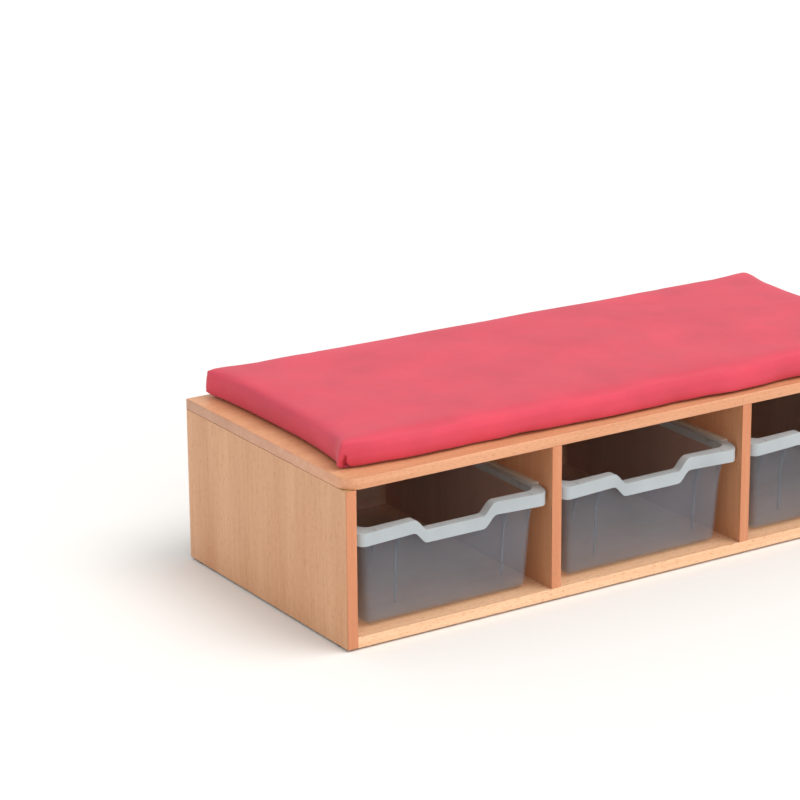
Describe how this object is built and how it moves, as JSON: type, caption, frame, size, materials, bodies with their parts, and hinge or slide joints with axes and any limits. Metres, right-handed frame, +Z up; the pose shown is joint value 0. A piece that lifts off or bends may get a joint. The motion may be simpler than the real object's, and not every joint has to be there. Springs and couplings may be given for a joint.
{
  "type": "storage bench",
  "caption": "Low playroom storage bench: a beech-look board cabinet with open bays, a translucent pull-out tray on runners in each bay, and a loose red seat cushion on top.",
  "frame": {"origin": "centre of the bench's footprint, on the floor", "axes": "+X along the bench to the right seen from the front, +Y from the open front to the back panel, +Z up"},
  "size_m": [1.024, 0.436, 0.2868],
  "materials": {
    "beech_board": "satin",
    "edge_band": "satin",
    "back_board": "matte",
    "tray_plastic": "gloss",
    "runner_plastic": "satin",
    "zinc_steel": "satin",
    "zinc_alloy": "matte",
    "beech_dowel": "matte",
    "glide_plastic": "matte",
    "red_cover": "matte",
    "foam": "matte",
    "hook_tape": "matte",
    "loop_tape": "matte"
  },
  "bodies": {
    "cabinet": {"top_panel": "beech_board", "base_panel": "beech_board", "left_end_panel": "beech_board", "right_end_panel": "beech_board", "left_divider": "beech_board", "right_divider": "beech_board", "back_panel": "back_board", "top_edge_band": "edge_band", "base_edge_band": "edge_band", "left_end_band": "edge_band", "right_end_band": "edge_band", "left_divider_band": "edge_band", "right_divider_band": "edge_band", "left_bay_left_runner": "runner_plastic", "left_bay_right_runner": "runner_plastic", "middle_bay_left_runner": "runner_plastic", "middle_bay_right_runner": "runner_plastic", "right_bay_left_runner": "runner_plastic", "right_bay_right_runner": "runner_plastic", "runner_screws": "zinc_steel", "back_panel_screws": "zinc_steel", "divider_screws": "zinc_steel", "top_dowels": "beech_dowel", "base_dowels": "beech_dowel", "cam_bolts": "zinc_steel", "cam_discs": "zinc_alloy", "floor_glides": "glide_plastic", "hook_patches": "hook_tape"},
    "left_tray": {"left_tray": "tray_plastic"},
    "middle_tray": {"middle_tray": "tray_plastic"},
    "right_tray": {"right_tray": "tray_plastic"},
    "cushion": {"cushion_cover": "red_cover", "cushion_foam": "foam", "loop_patches": "loop_tape"}
  },
  "joints": [
    {"name": "left_tray_pull", "type": "slide", "parent": "cabinet", "child": "left_tray", "axis": [0, -1, 0], "range_m": [0, 0.45]},
    {"name": "middle_tray_pull", "type": "slide", "parent": "cabinet", "child": "middle_tray", "axis": [0, -1, 0], "range_m": [0, 0.45]},
    {"name": "right_tray_pull", "type": "slide", "parent": "cabinet", "child": "right_tray", "axis": [0, -1, 0], "range_m": [0, 0.45]},
    {"name": "cushion_lift", "type": "slide", "parent": "cabinet", "child": "cushion", "axis": [0, 0, 1], "range_m": [0, 0.3]}
  ]
}
